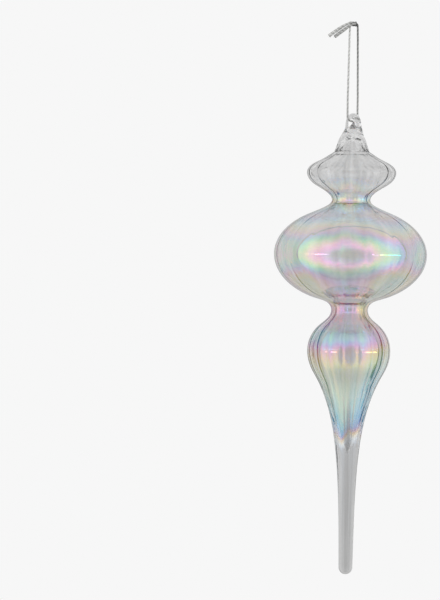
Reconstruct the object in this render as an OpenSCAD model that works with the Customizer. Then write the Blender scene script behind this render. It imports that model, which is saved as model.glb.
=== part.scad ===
// Blown glass finial ornament that hangs from a knotted thread loop.
// Millimetres, +Z up. The origin is where a hook's wire touches the loop, under the knot.
// Depths are measured downwards from the top of the glass.

/* [Glass body] */
// Largest radius of the spinning-top bead under the crown
bead_r = 19.8; // [17:0.1:22]
// Radius of the waist between bead and bulb
waist_r = 8.4; // [7.5:0.1:9.5]
// Largest radius of the round bulb
bulb_r = 33.8; // [30:0.1:37]
// Radius of the neck between bulb and teardrop
neck_r = 7.5; // [6.5:0.1:8.5]
// Largest radius of the teardrop
drop_r = 18.4; // [16:0.1:20]
// Radius that the drawn stem thins to
stem_r = 3; // [2.5:0.1:3.5]
// Thickness of the blown wall
wall = 1.2; // [0.8:0.1:1.6]

/* [Crown and eye] */
// Radius of the crown where it is fused to the body
seam_r = 7.9; // [7.4:0.1:8.4]
// Radius of the hole in the eye
eye_hole_r = 1.3; // [1.2:0.05:1.4]
// Height of the eye's glass, from the hole to its rim
eye_band = 3; // [2.6:0.1:3.1]
// Thickness of the eye's glass, along the hole
eye_thick = 4; // [3:0.1:4]

/* [Thread] */
// Thickness of the thread
thread_d = 0.9; // [0.7:0.05:0.95]
// Thickness of the loosened thread at a cut end
tail_end_d = 1.7; // [0.9:0.1:1.7]
// Radius of the knot
knot_r = 1.5; // [1.2:0.05:1.5]
// Half of the knot's length, from one run of thread to the other
knot_half = 2.3; // [2:0.05:2.3]

/* [Hidden] */
// Height of the loop, from the hook's wire down to the top of the glass
loop_drop = 38;
// Turn of the loop's plane, and of the hole's axis, about Z
loop_turn = 30;
// Depths of the body's stations
seam_z = 17.3;
bead_z = 26.4;
waist_z = 38.5;
bulb_z = 62.5;
neck_z = 87.7;
drop_z = 104.8;
stem_z = 122;
glass_end = 203.3;
// Heights of each swelling's half ellipses, [above, below] its widest place
bead_h = [7.6, 9.4];
bulb_h = [21.5, 21.7];
drop_h = [16.2, 18.5];
// How far the waist's rounding reaches, and how much wider the glass is there
waist_reach = 2.1;
waist_flare = 0.45;
// The stem thins exponentially: its extra radius at stem_z, and the depth over which that falls to 1/e
stem_extra = 8.6;
stem_fall = 20;
// How much narrower than its rounded tip the stem tends to be
stem_neck = 0.1;
// Depth at which the cavity closes and the stem is solid, and how long its pointed end is
cavity_end = 150;
cavity_point = 28;
// Depth of the eye's hole, and the radius of the circle in the middle of the eye's band
eye_z = 4.4;
eye_r = eye_hole_r + eye_band / 2;
// The crown's outline below the eye, [depth, radius]
crown_line = [[6, 0], [6.2, 2], [7, 3.9], [8.5, 5.1], [11.2, 6.1], [14, 6.8], [16.4, 7.4], [seam_z, seam_r]];
// The hollow under the crown, which opens into the body, from its rim to its top
crown_hollow = [[seam_z, seam_r - wall], [15.5, 5.4], [13.5, 4.2], [11.8, 2.8], [10.8, 1.4], [10.5, 0]];
// Facets of a full turn, and sides of the thread
$fn = 96;
tube_sides = 8;
line_steps = 2;

// The thread's route in the loop's plane, [across, height]: one run from the knot down to the eye
run_route = [
    [2.0, 0.1], [2.1, -3], [2.2, -6], [2.2, -9], [2.3, -12], [2.3, -15], [2.4, -18], [2.4, -21],
    [2.5, -24], [2.5, -27], [2.6, -30], [2.6, -33], [2.6, -37]
];
// and one half of the bight, from a run's lower end to the lowest place in the hole
bight_route = [
    [2.6, -37], [2.6, -38.3], [2.6, -39.6], [2.5, -40.2], [2.2, -40.8], [1.8, -41.2],
    [1.3, -41.5], [0.7, -41.7], [0, -41.8]
];
// The routes of the two cut ends, from inside the knot
tail_front_route = [
    [0.4, -0.9, 1.0], [0.5, -1.8, 1.2], [-0.2, -2.6, 1.0], [-1.3, -3.0, 0.5], [-2.5, -3.3, -0.3],
    [-4.0, -4.0, -1.5], [-6.2, -5.2, -3.2], [-8.4, -6.4, -5.0]
];
tail_back_route = [
    [-0.6, -0.9, 1.6], [-1.2, -1.7, 1.8], [-2.3, -2.1, 1.3], [-4.0, -2.2, 0.4], [-5.8, -2.2, -0.7],
    [-7.5, -2.1, -1.9], [-9.2, -2.0, -3.1], [-10.8, -1.9, -4.3]
];

// Half an ellipse's height, above or below its widest place
function half_height(h, a) = a < 0 ? h[0] : h[1];
// Points round a swelling of radius r at depth z, at the angles in turns from its widest place
function swelling(z, r, h, turns) = [for (a = turns) [z + half_height(h, a) * sin(a), r * cos(a)]];
// A point on the Catmull-Rom curve through b and c
function between(a, b, c, d, t) =
    b + t * ((c - a) + t * ((2 * a - 5 * b + 4 * c - d) + t * (3 * b - a - 3 * c + d))) / 2;
// The smooth line through points, with a number of steps from each to the next
function smooth(points, steps) = [
    for (i = [0 : len(points) - 2], s = [0 : steps - 1])
        between(
            points[max(i - 1, 0)], points[i], points[i + 1], points[min(i + 2, len(points) - 1)], s / steps
        ),
    points[len(points) - 1]
];
// The line moved inwards by d, at right angles to itself
function inset(line, d) = [
    for (i = [0 : len(line) - 1])
        let (along = unit(line[min(i + 1, len(line) - 1)] - line[max(i - 1, 0)]))
            line[i] + d * [along[1], -along[0]]
];
// [depth, radius] to a point of a revolved outline
function placed(line) = [for (p = line) [p[1], -loop_drop - p[0]]];
function unit(v) = v / norm(v);

// The stem's radius at a depth
function stem_radius(z) = stem_r - stem_neck + stem_extra * exp((stem_z - z) / stem_fall);
// The body's outer line, from the seam down to where the tip rounds off
body_line = smooth(concat(
    [[seam_z, seam_r]],
    swelling(bead_z, bead_r, bead_h, [-50 : 12.5 : 50]),
    [for (s = [-1 : 1]) [waist_z + s * waist_reach, waist_r + abs(s) * waist_flare]],
    swelling(bulb_z, bulb_r, bulb_h, [-60 : 9 : 75]),
    [[neck_z, neck_r]],
    swelling(drop_z, drop_r, drop_h, [-58 : 11.6 : 34.8]),
    [for (z = [120 : 8 : 192]) [z, stem_radius(z)]],
    [[glass_end - stem_r, stem_r]]
), line_steps);
tip_line = [for (a = [15 : 15 : 90]) [glass_end - stem_r + stem_r * sin(a), stem_r * cos(a)]];
// The cavity's line follows the outer one a wall's thickness inside it
cavity_line = [for (p = inset(body_line, wall)) if (p[0] > seam_z && p[0] < cavity_end - cavity_point) p];

// From the loop's plane, [across, height], to the part's frame
function in_loop(p) = [p[0] * cos(loop_turn), p[0] * sin(loop_turn), p[1]];
function other_side(route) = [for (p = route) [-p[0], p[1]]];
function backwards(route) = [for (i = [len(route) - 1 : -1 : 0]) route[i]];
// The way out of the loop's plane
loop_side = [-sin(loop_turn), cos(loop_turn), 0];

// A round tube along a route, from thickness d to thickness end_d
module tube(route, side, d, end_d) {
    last = len(route) - 1;
    rings = [
        for (i = [0 : last])
            let (
                along = unit(route[min(i + 1, last)] - route[max(i - 1, 0)]),
                across = unit(cross(along, side)),
                up = cross(across, along),
                r = (d + (end_d - d) * i / last) / 2
            )
            for (k = [0 : tube_sides - 1])
                let (a = 360 * k / tube_sides)
                    route[i] + r * (cos(a) * across + sin(a) * up)
    ];
    walls = [
        for (i = [0 : last - 1], k = [0 : tube_sides - 1])
            let (next = (k + 1) % tube_sides)
                [i * tube_sides + k, i * tube_sides + next, (i + 1) * tube_sides + next, (i + 1) * tube_sides + k]
    ];
    start_cap = [for (k = [tube_sides - 1 : -1 : 0]) k];
    end_cap = [for (k = [0 : tube_sides - 1]) last * tube_sides + k];
    polyhedron(rings, concat([start_cap], walls, [end_cap]));
}

module loop_tube(route) {
    tube([for (p = route) in_loop(p)], loop_side, thread_d, thread_d);
}

// Turns a shape revolved about Z so that its axis lies across the loop
module along_hole() {
    rotate([0, 0, loop_turn]) rotate([0, 90, 0]) children();
}

// The hollow blown body. Its top is open, and the crown closes it.
module glass_body() {
    color("gainsboro", 0.5) rotate_extrude()
        polygon(placed(concat(
            [[seam_z, seam_r - wall]],
            body_line,
            tip_line,
            [[cavity_end, 0]],
            backwards(cavity_line)
        )));
}

// The thick crown: a cone on the body's rim, hollow underneath and drawn up into a flattened eye.
module glass_crown() {
    color("lightgrey", 0.6) union() {
        rotate_extrude() polygon(placed(concat(crown_line, crown_hollow)));
        translate([0, 0, -loop_drop - eye_z]) along_hole() rotate_extrude() eye_section();
    }
}

// The eye's band, cut through: an ellipse
module eye_section() {
    polygon([
        for (a = [0 : 12 : 348])
            [eye_r + eye_band / 2 * cos(a), eye_thick / 2 * sin(a)]
    ]);
}

// The thread's turn through the eye
module thread_bight() {
    lower_half = backwards(other_side(bight_route));
    color("silver") loop_tube(concat(bight_route, [for (i = [1 : len(lower_half) - 1]) lower_half[i]]));
}

module thread_left() {
    color("silver") loop_tube(other_side(run_route));
}

module thread_right() {
    color("darkgrey") loop_tube(run_route);
}

// The knot, as its outer shape: it lies on the hook's wire
module knot() {
    color("grey") translate([0, 0, knot_r]) along_hole() rotate_extrude()
        polygon([for (a = [-90 : 15 : 90]) [knot_r * cos(a), knot_half * sin(a)]]);
}

module tail_front() {
    color("silver") tube(tail_front_route, [0, 1, 0], thread_d, tail_end_d);
}

module tail_back() {
    color("silver") tube(tail_back_route, [0, 1, 0], thread_d, tail_end_d);
}

glass_body();
glass_crown();
thread_bight();
thread_left();
thread_right();
knot();
tail_front();
tail_back();
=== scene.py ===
import math
import random

import bpy
import numpy as np
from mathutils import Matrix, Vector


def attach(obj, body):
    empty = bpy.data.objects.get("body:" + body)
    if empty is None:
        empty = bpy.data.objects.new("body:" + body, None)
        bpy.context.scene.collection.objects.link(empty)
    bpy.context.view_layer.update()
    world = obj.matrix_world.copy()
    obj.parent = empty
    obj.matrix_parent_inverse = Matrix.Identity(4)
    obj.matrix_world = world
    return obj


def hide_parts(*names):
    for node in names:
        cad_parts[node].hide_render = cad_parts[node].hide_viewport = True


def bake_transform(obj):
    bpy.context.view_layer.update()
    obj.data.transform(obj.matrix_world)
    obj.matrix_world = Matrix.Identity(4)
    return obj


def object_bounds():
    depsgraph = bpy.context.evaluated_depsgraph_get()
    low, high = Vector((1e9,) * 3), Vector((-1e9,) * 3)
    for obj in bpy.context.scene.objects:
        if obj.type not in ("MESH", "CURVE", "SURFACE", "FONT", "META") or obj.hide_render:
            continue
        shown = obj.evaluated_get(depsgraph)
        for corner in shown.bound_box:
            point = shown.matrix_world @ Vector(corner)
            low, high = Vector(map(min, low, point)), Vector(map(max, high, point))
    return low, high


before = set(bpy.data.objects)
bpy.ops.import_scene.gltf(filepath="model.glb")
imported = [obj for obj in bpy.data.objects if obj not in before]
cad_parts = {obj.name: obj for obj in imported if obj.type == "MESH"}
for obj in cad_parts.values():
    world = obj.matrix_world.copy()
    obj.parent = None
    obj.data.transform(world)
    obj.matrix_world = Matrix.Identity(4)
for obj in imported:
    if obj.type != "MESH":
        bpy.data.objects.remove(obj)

# Looks of a blown glass finial ornament on a silver thread, in the part's frame: +Z up, the hook at the
# origin, the front towards -Y. The camera's and the floor's places are in metres.

MM = 0.001
cad_low, cad_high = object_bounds()
rng = random.Random(20)


# ---------------------------------------------------------------- camera

CAMERA_PLACE = (-0.0571, -1.3, -0.1214)
CAMERA_LEAN = 0.9  # degrees, anticlockwise as seen in the picture
CAMERA_LENS = 177


def make_camera():
    """A long lens at the height of the bulb, looking along +Y and leaning a little."""
    camera = bpy.data.objects.new("camera", bpy.data.cameras.new("camera"))
    camera.data.sensor_fit = "AUTO"
    camera.data.sensor_width = 36
    camera.data.lens = CAMERA_LENS
    camera.data.clip_start = 0.05
    camera.data.clip_end = 20
    camera.location = CAMERA_PLACE
    camera.rotation_euler = (math.pi / 2, math.radians(-CAMERA_LEAN), 0)
    bpy.context.scene.collection.objects.link(camera)
    bpy.context.scene.camera = camera


# ---------------------------------------------------------------- shared geometry

LOOP_DROP = 38  # from the hook down to the top of the glass, mm
LOOP_TURN = math.radians(30)
HOLE_AXIS = np.array([math.cos(LOOP_TURN), math.sin(LOOP_TURN), 0])
LOOP_SIDE = np.array([-math.sin(LOOP_TURN), math.cos(LOOP_TURN), 0])
UP = np.array([0, 0, 1.0])


def smooth(points, steps):
    """The Catmull-Rom curve through points, with a number of steps from each to the next."""
    p = [np.array(q, float) for q in points]
    last = len(p) - 1
    line = []
    for i in range(last):
        a, b, c, d = p[max(i - 1, 0)], p[i], p[i + 1], p[min(i + 2, last)]
        for s in range(steps):
            t = s / steps
            bend = (2 * a - 5 * b + 4 * c - d) + t * (3 * b - a - 3 * c + d)
            line.append(b + t * ((c - a) + t * bend) / 2)
    return np.array(line + [p[last]])


def unit(v):
    return v / np.linalg.norm(v)


def tangents(line):
    """The direction of a line at each of its points."""
    step = np.gradient(np.asarray(line, float), axis=0)
    return step / np.linalg.norm(step, axis=1)[:, None]


def lengths_along(line):
    """How far along the line each of its points is."""
    return np.concatenate([[0], np.cumsum(np.linalg.norm(np.diff(line, axis=0), axis=1))])


def frames_along(line, side):
    """Two directions across the line at each point, carried along it without twisting."""
    along = tangents(line)
    across = unit(np.cross(along[0], side))
    first, second = [], []
    for t in along:
        across = unit(across - (across @ t) * t)
        first.append(across)
        second.append(np.cross(t, across))
    return np.array(first), np.array(second)


def strip_faces(rings, sides):
    """Quads between rings of points that follow one another."""
    i = np.arange(rings - 1)[:, None] * sides
    k = np.arange(sides)[None, :]
    n = (k + 1) % sides
    return np.stack([i + k, i + n, i + n + sides, i + k + sides], -1).reshape(-1, 4).tolist()


def tube_faces(rings, sides):
    """The faces of a tube made of rings of points, closed at both ends."""
    start_cap = list(range(sides - 1, -1, -1))
    end_cap = [(rings - 1) * sides + k for k in range(sides)]
    return strip_faces(rings, sides) + [start_cap, end_cap]


def angles_round(count):
    """Evenly spaced angles of a full turn."""
    return np.arange(count) * 2 * math.pi / count


def rings_round(line, first, second, radius, sides):
    """Points in rings round a line, between two directions across it, with a radius at each of its points."""
    turn = angles_round(sides)
    ring = np.cos(turn)[None, :, None] * first[:, None, :] + np.sin(turn)[None, :, None] * second[:, None, :]
    return (line[:, None, :] + radius[:, None, None] * ring).reshape(-1, 3)


def waves(at, terms):
    """The sum of sine waves given as (size, rate, start)."""
    return sum(size * np.sin(rate * at + start) for size, rate, start in terms)


def put_numbers(mesh, key, values):
    """Gives each point of a mesh a number that its material reads."""
    layer = mesh.attributes.new(key, "FLOAT", "POINT")
    layer.data.foreach_set("value", np.asarray(values, np.float32))


def mesh_object(name, points_mm, faces, attributes=None):
    """A smooth-shaded mesh object from points in millimetres."""
    mesh = bpy.data.meshes.new(name)
    mesh.from_pydata((np.asarray(points_mm) * MM).tolist(), [], faces)
    mesh.validate()
    mesh.polygons.foreach_set("use_smooth", [True] * len(mesh.polygons))
    for key, values in (attributes or {}).items():
        put_numbers(mesh, key, values)
    obj = bpy.data.objects.new(name, mesh)
    bpy.context.scene.collection.objects.link(obj)
    return obj


def joined(parts):
    """Points, faces and one number per point from several (points, faces, number) parts."""
    points, faces, values = [], [], []
    count = 0
    for p, f, v in parts:
        points.append(p)
        faces += [[i + count for i in face] for face in f]
        values.append(np.broadcast_to(np.asarray(v, float), (len(p),)))
        count += len(p)
    return np.concatenate(points), faces, np.concatenate(values)


# ---------------------------------------------------------------- thread

# The thread's routes in the loop's plane, [across, height] in mm, as in the part
RUN_ROUTE = [
    [2.0, 0.1], [2.1, -3], [2.2, -6], [2.2, -9], [2.3, -12], [2.3, -15], [2.4, -18], [2.4, -21],
    [2.5, -24], [2.5, -27], [2.6, -30], [2.6, -33], [2.6, -37],
]
BIGHT_ROUTE = [
    [2.6, -37], [2.6, -38.3], [2.6, -39.6], [2.5, -40.2], [2.2, -40.8], [1.8, -41.2],
    [1.3, -41.5], [0.7, -41.7], [0, -41.8],
]
TAIL_FRONT_ROUTE = [
    [0.4, -0.9, 1.0], [0.5, -1.8, 1.2], [-0.2, -2.6, 1.0], [-1.3, -3.0, 0.5], [-2.5, -3.3, -0.3],
    [-4.0, -4.0, -1.5], [-6.2, -5.2, -3.2], [-8.4, -6.4, -5.0],
]
TAIL_BACK_ROUTE = [
    [-0.6, -0.9, 1.6], [-1.2, -1.7, 1.8], [-2.3, -2.1, 1.3], [-4.0, -2.2, 0.4], [-5.8, -2.2, -0.7],
    [-7.5, -2.1, -1.9], [-9.2, -2.0, -3.1], [-10.8, -1.9, -4.3],
]
THREAD_D = 0.9
TAIL_END_D = 1.7
KNOT_MIDDLE = 1.15  # height of the knot's middle
WRAP_R = 0.66  # of the knot's turns, to the middle of the thread
RUN_TOP = -5.0  # height at which the runs hand over to the short legs under the knot, mm
PLIES = 3
PLY_PITCH = 1.8  # length of one turn of the twist, mm
PLY_SIDES = 10
PLY_STEP = 0.24
PLY_OFFSET = 0.255  # of the thread's thickness, from its middle to a ply's
PLY_R = 0.262  # of the thread's thickness
PLY_SHADES = (0.15, 0.5, 0.85)
# the knot's plies in darker greys: painted shade in the knot
KNOT_SHADED_TONES = (0.0, 0.1, 0.35)
LEG_START = 2.1  # angle of the right leg's plies
LOOSE_FROM = 0.15  # share of a cut end's length at which its plies begin to loosen
LOOSE_OVER = 0.45  # and over which they do
LOOSE_ROOM = 0.15  # of the cut end's thickness, left to the loose fibres
FIBRES = 14  # at each cut end
FIBRE_SIDES = 5
FIBRE_RINGS = 7
FIBRE_R = 0.07
FIBRE_TIP = 0.35  # of its radius
WRAPS_HALF = 1.35  # half the length of the knot's turns
WRAPS = 2.6
WRAPS_START = 0.6  # angle


def in_loop(route):
    """From the loop's plane to the part's frame."""
    return np.array([p[0] * HOLE_AXIS + p[1] * UP for p in route])


def other_side(route):
    return [[-p[0], p[1]] for p in route]


def resampled(line, step):
    """The line with its points evenly spaced, about step apart."""
    far = lengths_along(line)
    at = np.linspace(0, far[-1], max(int(round(far[-1] / step)), 8) + 1)
    return np.stack([np.interp(at, far, line[:, k]) for k in range(3)], -1)


def ply_tube(line, side, turns_from, offset, radius, shade):
    """One ply: a tube that winds round the line. offset and radius may vary along it."""
    a, b = frames_along(line, side)
    far = lengths_along(line)
    wind = turns_from + 2 * math.pi * far / PLY_PITCH
    offset = np.broadcast_to(offset, far.shape)
    radius = np.broadcast_to(radius, far.shape)
    centre = line + offset[:, None] * (np.cos(wind)[:, None] * a + np.sin(wind)[:, None] * b)
    ca, cb = frames_along(centre, side)
    return rings_round(centre, ca, cb, radius, PLY_SIDES), tube_faces(len(line), PLY_SIDES), shade


def twisted(line, side, start_angle=0.0, thickness=THREAD_D, shades=PLY_SHADES):
    """The plies of a twisted thread along a line."""
    thickness = np.broadcast_to(np.asarray(thickness, float), (len(line),))
    offset, radius = thickness * PLY_OFFSET, thickness * PLY_R
    return [
        ply_tube(line, side, start_angle + k * 2 * math.pi / PLIES, offset, radius, shades[k])
        for k in range(PLIES)
    ]


def run_start():
    """Where a run begins, under its short leg: [across, height]."""
    across, height = zip(*RUN_ROUTE)
    return [np.interp(-RUN_TOP, [-h for h in height], across), RUN_TOP]


def loop_route():
    """From the left run's upper end, down, through the eye and up the right run."""
    run = [r for r in RUN_ROUTE if r[1] < RUN_TOP]
    right = [run_start()] + run + BIGHT_ROUTE[1:]
    left = other_side(right)
    return in_loop(left + right[-2::-1])


def leg_route(sign):
    """From inside the knot down to where the run begins."""
    down = [[0.9, 1.4], [1.7, 1.0], RUN_ROUTE[0], RUN_ROUTE[1], run_start()]
    return in_loop([[sign * p[0], p[1]] for p in down])


def make_loop():
    line = resampled(smooth(loop_route(), 6), PLY_STEP)
    points, faces, shade = joined(twisted(line, LOOP_SIDE))
    # painted shade for each point: none at the left run's upper end, growing through the eye to full at the
    # right run's upper end
    share = np.tile(np.repeat(np.linspace(0, 1, len(line)), PLY_SIDES), PLIES)
    obj = mesh_object("thread_loop", points, faces, {"shade": shade, "painted_shade": share})
    return obj, line


def make_leg(name, sign, painted_shade):
    line = resampled(smooth(leg_route(sign), 6), PLY_STEP)
    points, faces, shade = joined(twisted(line, LOOP_SIDE, 0.0 if sign < 0 else LEG_START))
    return mesh_object(name, points, faces, {"shade": shade, "painted_shade": np.full(len(points), painted_shade)})


def fibre(start, direction, length):
    """One loose fibre that leaves a cut end and curls a little."""
    bend = unit(np.array([rng.uniform(-1, 1), rng.uniform(-1, 1), rng.uniform(-1, 1)]))
    shares = np.linspace(0, 1, FIBRE_RINGS)
    line = np.array([start + length * t * (direction + 0.5 * t * bend) for t in shares])
    a, b = frames_along(line, LOOP_SIDE)
    taper = FIBRE_R * np.linspace(1, FIBRE_TIP, FIBRE_RINGS)
    points = rings_round(line, a, b, taper, FIBRE_SIDES)
    return points, tube_faces(FIBRE_RINGS, FIBRE_SIDES), rng.uniform(0, 1)


def make_tail(name, route, painted_shade):
    """A cut end whose plies loosen towards the cut, where single fibres stick out."""
    line = resampled(smooth(route, 6), PLY_STEP)
    far = lengths_along(line)
    loosened = np.clip((far / far[-1] - LOOSE_FROM) / LOOSE_OVER, 0, 1)
    thickness = THREAD_D + (TAIL_END_D - LOOSE_ROOM - THREAD_D) * loosened
    parts = twisted(line, [0, 1, 0], rng.uniform(0, 6), thickness)
    end, along = line[-1], tangents(line)[-1]
    a, b = frames_along(line, [0, 1, 0])
    for _ in range(FIBRES):
        turn = rng.uniform(0, 2 * math.pi)
        out = math.cos(turn) * a[-1] + math.sin(turn) * b[-1]
        start = end - 0.5 * along + rng.uniform(0.15, 0.62) * out
        parts.append(fibre(start, unit(along + rng.uniform(-0.2, 0.55) * out), rng.uniform(0.6, 1.2)))
    points, faces, shade = joined(parts)
    return mesh_object(name, points, faces, {"shade": shade, "painted_shade": np.full(len(points), painted_shade)})


def knot_point(across, front, height):
    """A place in the knot: across the loop, out of its plane and above the knot's underside."""
    return across * HOLE_AXIS + front * LOOP_SIDE + height * UP


def make_knot():
    """A knot in both ends: turns of thread, one pass through them and one over them."""
    wraps = []
    for t in np.linspace(0, 1, 66):
        angle = 2 * math.pi * WRAPS * t + WRAPS_START
        across = -WRAPS_HALF + 2 * WRAPS_HALF * t
        wraps.append(knot_point(across, WRAP_R * math.sin(angle), KNOT_MIDDLE + WRAP_R * math.cos(angle)))
    through = [knot_point(x, f, z) for x, f, z in [
        [-1.9, 0.1, 0.9], [-1.2, 0.2, 1.2], [-0.4, 0.1, 1.2], [0.4, -0.1, 1.1], [1.2, -0.2, 1.2],
        [1.9, 0.0, 0.9],
    ]]
    over = [knot_point(x, f, z) for x, f, z in [
        [-1.3, -0.5, 0.6], [-1.0, -0.95, 0.9], [-0.4, -1.1, 1.2], [0.3, -0.9, 1.6], [0.9, -0.2, 1.8],
        [1.3, 0.6, 1.6],
    ]]
    parts = twisted(resampled(np.array(wraps), PLY_STEP), HOLE_AXIS, shades=KNOT_SHADED_TONES)
    for route, angle in [(through, 0.8), (over, 2.0)]:
        parts += twisted(resampled(smooth(route, 6), PLY_STEP), UP, angle, shades=KNOT_SHADED_TONES)
    points, faces, shade = joined(parts)
    # the knot is darkened with full painted shade
    return mesh_object("knot_wraps", points, faces, {"shade": shade, "painted_shade": np.full(len(points), 1.0)})


# ---------------------------------------------------------------- glass

WALL = 1.2
SEAM = [17.3, 7.9]
GLASS_END = 203.3
STEM_R = 3
CAVITY_END = 150
CAVITY_POINT = 28
RIBS = 16
RIB_STEPS = [0, 0.04, 0.08, 0.13, 0.2, 0.3, 0.4, 0.5, 0.6, 0.7, 0.8, 0.87, 0.92, 0.96]
# How deep the ribs' creases are along the glass, [depth, mm]
CREASE_DEPTH = [
    [17.3, 0.1], [22, 0.17], [30, 0.2], [38.5, 0.2], [48, 0.2], [62, 0.22], [70, 0.42], [80, 0.48],
    [87.7, 0.26], [97, 0.24], [108, 0.42], [122, 0.36], [140, 0.16], [165, 0.07], [196, 0.04], [204, 0],
]
GROOVE_WIDTH = 0.13  # of a rib's pitch
OUTER_SHARE = 0.35  # of that depth on the outside of the wall, where hot glass smooths out
INNER_SHARE = 0.55  # and on the inside
LOBE = 0.45  # how much of the crease's depth the flanks beside it share
LOBE_POWER = 0.8
RIB_VARIETY = 0.3  # how much the creases differ in depth
WAVE = 0.05  # how far the glass is out of round
SETTLE_PASSES = 10


def swelling(depth, radius, heights, degrees):
    """Points round a swelling, at angles from its widest place."""
    points = []
    for a in np.radians(degrees):
        height = heights[0] if a < 0 else heights[1]
        points.append([depth + height * math.sin(a), radius * math.cos(a)])
    return points


def stem_radius(depth):
    return STEM_R - 0.1 + 8.6 * math.exp((122 - depth) / 20)


def body_line(steps):
    """The body's outer line as [depth, radius], from the seam down to where the tip rounds off."""
    line = smooth(
        [SEAM]
        + swelling(26.4, 19.8, [7.6, 9.4], np.arange(-50, 51, 12.5))
        + [[38.5 + s * 2.1, 8.4 + abs(s) * 0.45] for s in (-1, 0, 1)]
        + swelling(62.5, 33.8, [21.5, 21.7], np.arange(-60, 76, 9))
        + [[87.7, 7.5]]
        + swelling(104.8, 18.4, [16.2, 18.5], np.arange(-58, 35, 11.6))
        + [[z, stem_radius(z)] for z in range(120, 193, 8)]
        + [[GLASS_END - STEM_R, STEM_R]],
        steps,
    )
    # hot glass has no sudden bends: each point settles towards its neighbours
    for _ in range(SETTLE_PASSES):
        line[1:-1] += 0.5 * ((line[:-2] + line[2:]) / 2 - line[1:-1])
    return line


def inset(line, d):
    """The line moved inwards by d, at right angles to itself."""
    along = tangents(line)
    return line + d * np.stack([along[:, 1], -along[:, 0]], -1)


def ribbed(line, share):
    """Points of a ribbed surface of revolution: rings of the line's points, [depth, radius]."""
    depth, radius = line[:, 0], line[:, 1]
    u = (np.arange(RIBS)[:, None] + np.array(RIB_STEPS)[None, :]).ravel()
    crease = np.interp(depth, *zip(*CREASE_DEPTH)) * share
    # distance from the nearest crease, in ribs
    near = np.abs((u + 0.5) % 1 - 0.5)
    groove = np.exp(-((near / GROOVE_WIDTH) ** 2))
    lobe = LOBE * (1 - np.sin(math.pi * (u % 1)) ** LOBE_POWER)
    strength = 1 + RIB_VARIETY * np.sin(2.4 * np.round(u) + 0.7)
    # the creases wander a little round the glass, as in hand-drawn ribs
    wander = 0.55 * np.sin(depth / 17) + 0.3 * np.sin(depth / 6.1 + 1)  # degrees
    angle = (u[None, :] - 0.5) * 2 * math.pi / RIBS + np.radians(wander)[:, None] - math.pi / 2
    wave = WAVE * np.sin(3 * angle + depth[:, None] / 9) * np.minimum(radius / 15, 1)[:, None]
    shape = (groove * strength + lobe)[None, :]
    r = radius[:, None] - crease[:, None] * shape * np.minimum(radius / 9, 1)[:, None]
    r = np.maximum(r + wave, 0.02)
    z = -LOOP_DROP - depth[:, None] + 0 * angle
    return np.stack([r * np.cos(angle), r * np.sin(angle), z], -1)


# The rainbow coating: the light path through it and back along the glass, [depth, nanometres]
FILM_PATH = [
    [0, 30], [17, 30], [26, 40], [30, 140], [34, 480], [37, 900], [39.5, 1120], [42, 900], [46, 680],
    [49, 880], [50.5, 1040], [52, 1150], [54, 1290], [55.5, 1450], [57.5, 1580], [60, 1680], [62, 1745],
    [63.5, 1765], [65, 1730], [66.7, 1620], [68.5, 1500], [70.3, 1380], [72, 1240], [74, 1160], [78, 1130],
    [90, 1130], [94, 1200], [97, 1260], [100.2, 1220], [102.5, 1130], [104.6, 1020], [109, 930],
    [113.4, 865], [118, 830], [124, 795], [131, 750], [136, 700], [140, 610], [146, 90], [204, 60],
]
# How much thinner it is between the directions that it was laid on from, [depth, share]
FILM_THINNING = [[0, 0.2], [50, 0.25], [75, 0.25], [92, 0.06], [100, 0.03], [204, 0.03]]
FILM_TILT = 0.08  # how much thicker it is on one side of that direction than in front
FILM_IOR = 2.2
FILM_BY_RIB = 0.02
FILM_EDGE = [(1.6, 3, 0), (0.9, 7, 1)]  # its uneven edge on the stem: mm, waves round the glass, start
FILM_FACE = math.radians(-97)  # the coating was laid on from here, and from every quarter turn round
FILM_PAINTED_SHEEN = 0.07  # how much of the coating's reflected rainbow is painted into the glass's own colour: painted sheen
PAINTED_SHEEN_RANGE = (20.0, 120.0)  # nanometres of coating over which that painted sheen comes in
WAVELENGTHS = (640, 540, 450)  # of red, green and blue, nanometres

# How clear the glass is along its length, [depth, share of the light that goes through]
CLEAR = [
    [0, 0.97], [16, 0.99], [20, 1.0], [40, 0.98], [50, 0.98], [66, 0.93], [74, 0.82], [84, 0.85], [90, 0.88],
    [100, 0.89], [130, 0.84], [140, 0.75], [147, 0.69], [156, 0.7], [164, 0.73], [204, 0.74],
]


def clearness(points):
    return np.interp(-LOOP_DROP - points[:, 2], *zip(*CLEAR))


def film_thickness(points):
    """The coating's thickness in nanometres, by depth and by direction round the glass."""
    depth = -LOOP_DROP - points[:, 2]
    turn = np.arctan2(points[:, 1], points[:, 0]) - FILM_FACE
    ragged = np.interp(depth, [126, 138], [0, 1]) * waves(turn, FILM_EDGE)
    path = np.interp(depth + ragged, *zip(*FILM_PATH))
    thinning = np.interp(depth, *zip(*FILM_THINNING))
    by_rib = FILM_BY_RIB * np.cos(RIBS * turn)
    path = path * (1 - thinning * np.sin(2 * turn) ** 2 - FILM_TILT * np.sin(turn) + by_rib)
    return path / (2 * FILM_IOR)


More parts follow.
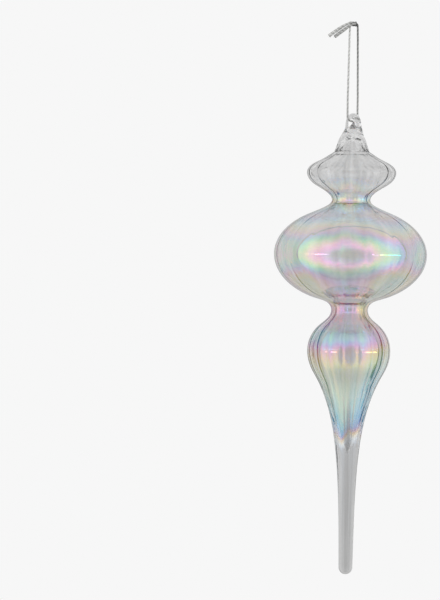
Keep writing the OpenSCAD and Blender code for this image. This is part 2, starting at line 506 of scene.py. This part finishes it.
def make_body():
    """The blown shell: outer wall, rim and cavity wall in one closed surface."""
    outer = body_line(4)
    tip = np.array([
        [GLASS_END - STEM_R + STEM_R * math.sin(a), STEM_R * math.cos(a)]
        for a in np.radians(range(10, 90, 10))
    ])
    inner = inset(body_line(3), WALL)
    inner = inner[(inner[:, 0] > SEAM[0] + 0.2) & (inner[:, 0] < CAVITY_END - CAVITY_POINT)]
    last_r = inner[-1, 1]
    point = np.array([
        [CAVITY_END - CAVITY_POINT * (1 - t), last_r * (1 - t)]
        for t in (*np.arange(0.08, 0.92, 0.07), 0.95, 0.98)
    ])
    inner = np.concatenate([[[SEAM[0], SEAM[1] - WALL]], inner, point])
    rings = np.concatenate([
        ribbed(inner, INNER_SHARE)[::-1],
        ribbed(np.array([[SEAM[0], SEAM[1] - WALL / 2]]), 0.2),
        ribbed(outer, OUTER_SHARE),
        ribbed(tip, OUTER_SHARE),
    ])
    count, sides = rings.shape[:2]
    points = rings.reshape(-1, 3)
    faces = strip_faces(count, sides)
    top, bottom = len(points), len(points) + 1
    points = np.concatenate([points, [[0, 0, -LOOP_DROP - CAVITY_END], [0, 0, -LOOP_DROP - GLASS_END]]])
    faces += [[top, (k + 1) % sides, k] for k in range(sides)]
    start = (count - 1) * sides
    faces += [[bottom, start + k, start + (k + 1) % sides] for k in range(sides)]
    faces = [f[::-1] for f in faces]
    outside = np.zeros(len(points))
    outside[(len(inner) + 1) * sides: len(points) - 2] = 1
    outside[bottom] = 1
    return mesh_object(
        "glass_shell", points, faces, {"film": film_thickness(points) * outside, "clear": clearness(points)}
    )


# The crown's cone, [depth, radius], and the glass that is drawn up from it into the eye:
# [along the hole, out of the loop's plane, depth, half width along the hole, half width across]
CONE_LINE = [
    [7.4, 0.4], [7.9, 2.0], [8.8, 3.6], [9.9, 4.8], [11.1, 5.6], [12.6, 6.2], [14.3, 6.7], [15.8, 7.2],
    [17.15, 7.75],
]
CROWN_HOLLOW = [[17.3, 6.7], [15.5, 5.4], [13.5, 4.2], [11.8, 2.8], [10.8, 1.4], [10.5, 0.3]]
EYE_ROUTE = [
    [0.1, -0.2, 10.4, 5.1, 5.0], [0.4, -0.7, 9.3, 4.6, 4.2],
    [0.55, -1.5, 7.9, 3.8, 3.3], [0.5, -2.5, 6.2, 2.7, 2.2],
    [0.3, -3.3, 4.4, 1.7, 1.9], [0.3, -2.7, 2.7, 1.65, 1.6], [0.3, -1.4, 1.7, 1.6, 1.4],
    [0.1, 0.3, 1.5, 1.5, 1.3], [-0.5, 1.7, 2.1, 1.05, 1.0], [-0.95, 2.6, 3.5, 0.65, 0.72],
    [-1.05, 2.8, 4.9, 0.6, 0.7], [-1.2, 2.5, 6.5, 0.9, 1.0], [-1.35, 1.9, 8.2, 1.8, 1.7],
    [-1.3, 1.5, 9.4, 2.2, 2.1],
]
SHOULDER = [[5.6, 0], [7.2, 1], [12, 1], [14, 0]]  # [depth, how much it settles]
CROWN_VOXEL = 0.17
CROWN_PASSES = 12  # how often the whole crown settles
SHOULDER_PASSES = 90  # and then its shoulder
EYE_SIDES = 40


def crown_cone():
    line = np.concatenate([smooth(CONE_LINE, 6), smooth(CROWN_HOLLOW, 4)])
    rings = ribbed(line, 1.3)
    count, sides = rings.shape[:2]
    points = np.concatenate([
        rings.reshape(-1, 3), [[0, 0, -LOOP_DROP - line[0, 0]], [0, 0, -LOOP_DROP - line[-1, 0]]]
    ])
    faces = strip_faces(count, sides)
    faces += [[count * sides, (k + 1) % sides, k] for k in range(sides)]
    start = (count - 1) * sides
    faces += [[count * sides + 1, start + k, start + (k + 1) % sides] for k in range(sides)]
    return points, faces, 1


def crown_eye():
    """The drawn rod, with an elliptical section whose one axis stays along the hole."""
    stations = smooth(EYE_ROUTE, 8)
    line = np.array([s[0] * HOLE_AXIS + s[1] * LOOP_SIDE - (LOOP_DROP + s[2]) * UP for s in stations])
    across = np.cross(tangents(line), HOLE_AXIS)
    across /= np.linalg.norm(across, axis=1)[:, None]
    turn = angles_round(EYE_SIDES)
    ring = (
        (stations[:, 3, None] * np.cos(turn)[None, :])[..., None] * HOLE_AXIS
        + (stations[:, 4, None] * np.sin(turn)[None, :])[..., None] * across[:, None, :]
    )
    return (line[:, None, :] + ring).reshape(-1, 3), tube_faces(len(line), EYE_SIDES), 1


def applied(obj):
    """Replaces the mesh by what its modifiers make of it."""
    depsgraph = bpy.context.evaluated_depsgraph_get()
    mesh = bpy.data.meshes.new_from_object(obj.evaluated_get(depsgraph))
    obj.modifiers.clear()
    obj.data = mesh
    mesh.name = obj.name
    mesh.polygons.foreach_set("use_smooth", [True] * len(mesh.polygons))


def settle(obj, passes, group=""):
    """Moves each point towards its neighbours a number of times, all over or in one vertex group."""
    smoothing = obj.modifiers.new("settle", "SMOOTH")
    smoothing.factor = 0.5
    smoothing.iterations = passes
    smoothing.vertex_group = group
    applied(obj)


def points_of(obj):
    return np.array([v.co for v in obj.data.vertices]) / MM


def make_crown():
    """Cone and eye run together, as hot glass does."""
    points, faces, _ = joined([crown_cone(), crown_eye()])
    obj = mesh_object("glass_crown_drawn", points, faces)
    remesh = obj.modifiers.new("fuse", "REMESH")
    remesh.mode = "VOXEL"
    remesh.voxel_size = CROWN_VOXEL * MM
    settle(obj, CROWN_PASSES)
    # the shoulder, where they meet, settles more than the thin eye
    shoulder = obj.vertex_groups.new(name="shoulder")
    for i, weight in enumerate(np.interp(-LOOP_DROP - points_of(obj)[:, 2], *zip(*SHOULDER)).tolist()):
        if weight > 0:
            shoulder.add([i], weight, "REPLACE")
    settle(obj, SHOULDER_PASSES, "shoulder")
    points = points_of(obj)
    put_numbers(obj.data, "film", film_thickness(points))
    put_numbers(obj.data, "clear", clearness(points))
    return obj


# ---------------------------------------------------------------- materials

class Nodes:
    """A short way to write a node tree."""

    def __init__(self, owner):
        owner.use_nodes = True
        self.tree = owner.node_tree
        self.tree.nodes.clear()

    def add(self, kind, settings=None, **inputs):
        node = self.tree.nodes.new(kind)
        for key, value in (settings or {}).items():
            setattr(node, key, value)
        for key, value in inputs.items():
            self.feed(node.inputs[key.replace("_", " ")], value)
        return node

    def feed(self, socket, value):
        if isinstance(value, bpy.types.NodeSocket):
            self.tree.links.new(value, socket)
        else:
            socket.default_value = value

    def math(self, operation, *values):
        node = self.tree.nodes.new("ShaderNodeMath")
        node.operation = operation
        for socket, value in zip(node.inputs, values):
            self.feed(socket, value)
        return node.outputs[0]

    def ramp(self, value, low, high, to_low=0.0, to_high=1.0):
        """Goes smoothly from to_low to to_high as value goes from low to high."""
        node = self.tree.nodes.new("ShaderNodeMapRange")
        node.interpolation_type = "SMOOTHSTEP"
        for socket, number in zip(node.inputs, (value, low, high, to_low, to_high)):
            self.feed(socket, number)
        return node.outputs[0]

    def mix(self, share, a, b):
        node = self.tree.nodes.new("ShaderNodeMix")
        node.data_type = "RGBA"
        self.feed(node.inputs[0], share)
        self.feed(node.inputs[6], a)
        self.feed(node.inputs[7], b)
        return node.outputs[2]


def painted_film_sheen(n, thickness):
    """Painted sheen: the coating's reflected rainbow, painted into the glass's colour; red, green and blue
    each come and go as it gets thicker.
    """
    channels = []
    for wavelength in WAVELENGTHS:
        wave = n.math("COSINE", n.math("MULTIPLY", thickness, 4 * math.pi * FILM_IOR / wavelength))
        channels.append(n.math("MULTIPLY_ADD", wave, -FILM_PAINTED_SHEEN / 2, 1 - FILM_PAINTED_SHEEN / 2))
    red, green, blue = channels
    hue = n.add("ShaderNodeCombineColor", Red=red, Green=green, Blue=blue).outputs[0]
    return n.mix(n.ramp(thickness, *PAINTED_SHEEN_RANGE), (1, 1, 1, 1), hue)


def glass_material(name, roughness, streak_depth):
    """Clear glass with faint drawn streaks, a rainbow coating whose reflected colours are also painted into
    the glass as painted sheen, and grey where it is thick.
    """
    material = bpy.data.materials.new(name)
    n = Nodes(material)
    place = n.add("ShaderNodeTexCoord").outputs["Object"]
    split = n.add("ShaderNodeSeparateXYZ", Vector=place).outputs
    coating = n.add("ShaderNodeAttribute", {"attribute_name": "film"}).outputs["Fac"]
    cloud = n.add("ShaderNodeTexNoise", Vector=place, Scale=40.0, Detail=1.0).outputs["Fac"]
    # streaks run down the glass: the noise changes quickly round the axis and slowly along it
    round_axis = n.add("ShaderNodeCombineXYZ", X=split["X"], Y=split["Y"], Z=0.0).outputs[0]
    round_axis = n.add("ShaderNodeVectorMath", {"operation": "NORMALIZE"}, Vector=round_axis).outputs[0]
    scaled = n.add("ShaderNodeVectorMath", {"operation": "SCALE"}, Vector=round_axis, Scale=6.0)
    along = n.add("ShaderNodeCombineXYZ", X=0.0, Y=0.0, Z=n.math("MULTIPLY", split["Z"], 30.0)).outputs[0]
    drawn = n.add("ShaderNodeVectorMath", {"operation": "ADD"})
    n.feed(drawn.inputs[0], scaled.outputs[0])
    n.feed(drawn.inputs[1], along)
    streaks = n.add("ShaderNodeTexNoise", Vector=drawn.outputs[0], Scale=1.0, Detail=2.0).outputs["Fac"]
    bump = n.add("ShaderNodeBump", Strength=1.0, Distance=streak_depth, Height=streaks)
    uneven = n.math("MULTIPLY", n.ramp(cloud, 0.2, 0.8, 0.96, 1.04), n.ramp(streaks, 0.3, 0.7, 0.97, 1.03))
    thickness = n.math("MULTIPLY", coating, uneven)
    clear = n.add("ShaderNodeAttribute", {"attribute_name": "clear"}).outputs["Fac"]
    clear = n.math("MULTIPLY", clear, n.ramp(streaks, 0.35, 0.65, 0.87, 1.0))
    # the glass's colour: its clearness, times the coating's painted sheen
    tint = n.mix(clear, (0, 0, 0, 1), painted_film_sheen(n, thickness))
    shader = n.add(
        "ShaderNodeBsdfPrincipled",
        Base_Color=tint,
        Roughness=roughness,
        IOR=1.5,
        Transmission_Weight=1.0,
        Thin_Film_IOR=FILM_IOR,
        Thin_Film_Thickness=thickness,
        Normal=bump.outputs[0],
    )
    n.add("ShaderNodeOutputMaterial", Surface=shader.outputs[0])
    return material


def thread_material():
    """Silver-grey metallic thread: three plies of slightly different grey, with fine fibres along them, and
    painted shade that darkens it towards the right run, in the knot and in part on the tails.
    """
    material = bpy.data.materials.new("silver_thread")
    n = Nodes(material)
    place = n.add("ShaderNodeTexCoord").outputs["Object"]
    ply = n.add("ShaderNodeAttribute", {"attribute_name": "shade"}).outputs["Fac"]
    painted_shade = n.add("ShaderNodeAttribute", {"attribute_name": "painted_shade"}).outputs["Fac"]
    fibres = n.add("ShaderNodeTexNoise", Vector=place, Scale=5200.0, Detail=3.0).outputs["Fac"]
    # the unshaded grey and its darker copy for painted shade, mixed by how much painted shade each point
    # carries
    light = n.mix(ply, (0.5, 0.5, 0.49, 1), (0.95, 0.95, 0.93, 1))
    painted_shade_grey = n.mix(ply, (0.07, 0.07, 0.07, 1), (0.42, 0.42, 0.41, 1))
    colour = n.mix(painted_shade, light, painted_shade_grey)
    speckled = n.mix(n.ramp(fibres, 0.3, 0.6, 0.35, 1.0), (0.2, 0.2, 0.19, 1), colour)
    bump = n.add("ShaderNodeBump", Strength=0.6, Distance=0.00006, Height=fibres)
    shader = n.add(
        "ShaderNodeBsdfPrincipled",
        Base_Color=speckled,
        Metallic=0.55,
        Roughness=n.ramp(fibres, 0.2, 0.8, 0.3, 0.5),
        Normal=bump.outputs[0],
    )
    n.add("ShaderNodeOutputMaterial", Surface=shader.outputs[0])
    return material


def floor_material():
    """Pale paper that fades out towards the floor's edge."""
    material = bpy.data.materials.new("pale_floor")
    n = Nodes(material)
    place = n.add("ShaderNodeTexCoord").outputs["Object"]
    out = n.add("ShaderNodeVectorMath", {"operation": "LENGTH"}, Vector=place).outputs["Value"]
    grain = n.add("ShaderNodeTexNoise", Vector=place, Scale=900.0, Detail=3.0).outputs["Fac"]
    paper = n.mix(grain, (0.68, 0.68, 0.68, 1), (0.74, 0.74, 0.735, 1))
    fade = n.ramp(out, FLOOR_R / 2, FLOOR_R, 1.0, 0.0)
    shader = n.add("ShaderNodeBsdfPrincipled", Base_Color=paper, Roughness=0.9, Alpha=fade)
    n.add("ShaderNodeOutputMaterial", Surface=shader.outputs[0])
    return material


# ---------------------------------------------------------------- studio

BACKDROP = 0.93  # as the camera sees it
FRONT_LEVEL = 1.3
MIDDLE_LEVEL = 0.5  # where the camera stands in front of the light
MIDDLE_DROP = math.radians(11)
SIDE_LEVEL = 0.76
BACK_LEVEL = 0.6
CORNER_LEVEL = 0.5
LAMP_LEVEL = 3.0
LAMPS = [(-58, -37), (43, 78), (27, 31)]  # where each begins and ends round the glass, in degrees


def make_world():
    """A soft white studio: a broad white front with dark edges, a greyer room behind, and lamp strips."""
    world = bpy.data.worlds.new("studio")
    bpy.context.scene.world = world
    n = Nodes(world)
    way = n.add("ShaderNodeTexCoord").outputs["Generated"]
    split = n.add("ShaderNodeSeparateXYZ", Vector=way).outputs
    x, z = split["X"], split["Z"]
    facing = n.math("MULTIPLY", split["Y"], -1.0)
    # the front ends just behind the glass, in a dark line above and beside it
    opening = n.math("MULTIPLY_ADD", n.math("MULTIPLY", x, x), -0.06, facing)
    behind = n.ramp(facing, -0.95, -0.8, BACK_LEVEL, SIDE_LEVEL)
    edge = n.ramp(opening, -0.1, -0.08, 1.0, 0.3)
    edge = n.math("MAXIMUM", edge, n.ramp(z, -0.3, -0.1, 1.0, 0.0))
    behind = n.math("MULTIPLY", behind, edge)
    drop = n.math("MULTIPLY", z, -math.sin(MIDDLE_DROP))
    middle = n.math("MULTIPLY_ADD", facing, math.cos(MIDDLE_DROP), drop)
    front = n.ramp(middle, 0.8, 0.97, FRONT_LEVEL, MIDDLE_LEVEL)
    front = n.math("MULTIPLY", front, n.ramp(z, -0.97, -0.5, 0.45, 1.0))
    front = n.math("MULTIPLY", front, n.ramp(z, 0.5, 0.97, 1.0, 0.6))
    level = n.math("MULTIPLY", n.ramp(opening, -0.05, -0.03), n.math("SUBTRACT", front, behind))
    level = n.math("ADD", behind, level)
    turn = n.math("ARCTAN2", x, facing)
    tall = n.ramp(n.math("ABSOLUTE", n.math("ADD", z, 0.05)), 0.01, 0.035, 1.0, 0.0)
    for start, end in LAMPS:
        across = n.math("MULTIPLY", n.ramp(turn, *np.radians([start - 1, start + 1]).tolist()),
                        n.ramp(turn, *np.radians([end - 1, end + 1]).tolist(), 1.0, 0.0))
        lamp = n.math("MULTIPLY", n.math("MULTIPLY", across, tall), LAMP_LEVEL)
        level = n.math("ADD", level, lamp)
    # straight through the glass the room is even, from every side
    far = n.math("ABSOLUTE", facing)
    through = n.math("MINIMUM", n.ramp(far, 0.1, 0.4, CORNER_LEVEL, SIDE_LEVEL),
                     n.ramp(far, 0.8, 0.95, SIDE_LEVEL, BACK_LEVEL))
    path = n.add("ShaderNodeLightPath").outputs
    mirrored = n.math("MINIMUM", path["Glossy Depth"], 1.0)
    straight = n.math("MULTIPLY", n.math("MINIMUM", path["Transmission Depth"], 1.0),
                      n.math("SUBTRACT", 1.0, mirrored))
    level = n.math("ADD", level, n.math("MULTIPLY", straight, n.math("SUBTRACT", through, level)))
    seen = path["Is Camera Ray"]
    strength = n.math("ADD", level, n.math("MULTIPLY", seen, n.math("SUBTRACT", BACKDROP, level)))
    background = n.add("ShaderNodeBackground", Color=(1, 1, 1, 1), Strength=strength)
    n.add("ShaderNodeOutputWorld", Surface=background.outputs[0])


FLOOR_DROP = 0.12
FLOOR_R = 0.6
FLOOR_SIDES = 96


def make_floor():
    """A round pale floor well under the tip."""
    turn = angles_round(FLOOR_SIDES)
    radii = (FLOOR_R / 2, FLOOR_R)
    rings = [[radius * math.cos(a), radius * math.sin(a), 0] for radius in radii for a in turn]
    faces = [f[::-1] for f in strip_faces(2, FLOOR_SIDES)] + [list(range(FLOOR_SIDES))]
    floor = mesh_object("floor", np.array(rings) / MM, faces)
    floor.location.z = cad_low.z - FLOOR_DROP
    floor.visible_glossy = False
    floor.visible_transmission = False
    floor.data.materials.append(floor_material())


# ---------------------------------------------------------------- assembly

def finish_piece(obj, material, slot, *replaced):
    obj.data.materials.append(material)
    if replaced:
        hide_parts(*replaced)
    return obj


make_camera()

thread = thread_material()
thread_loop, loop_line = make_loop()
finish_piece(thread_loop, thread, "thread", "thread_left", "thread_right", "thread_bight")
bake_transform(thread_loop)
# the last number is each leg's painted shade: none on the left, full on the right
legs = [make_leg("thread_leg_left", -1, 0.0), make_leg("thread_leg_right", 1, 1.0)]
for leg in legs:
    finish_piece(leg, thread, "thread")
    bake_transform(leg)
knot = finish_piece(make_knot(), thread, "thread", "knot")
# the last number is each tail's painted shade: more on the front tail than on the back one
tail_front = make_tail("tail_front_frayed", TAIL_FRONT_ROUTE, 0.6)
finish_piece(tail_front, thread, "thread", "tail_front")
tail_back = make_tail("tail_back_frayed", TAIL_BACK_ROUTE, 0.2)
finish_piece(tail_back, thread, "thread", "tail_back")
for piece in (knot, tail_front, tail_back):
    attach(piece, "hanger")

shell = finish_piece(make_body(), glass_material("rainbow_glass", 0.0, 0.00004), "glass", "glass_body")
crown = finish_piece(make_crown(), glass_material("drawn_glass", 0.15, 0.00006), "glass", "glass_crown")
for piece in (shell, crown):
    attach(piece, "ornament")

bpy.context.scene.view_settings.view_transform = "Standard"
make_world()
make_floor()
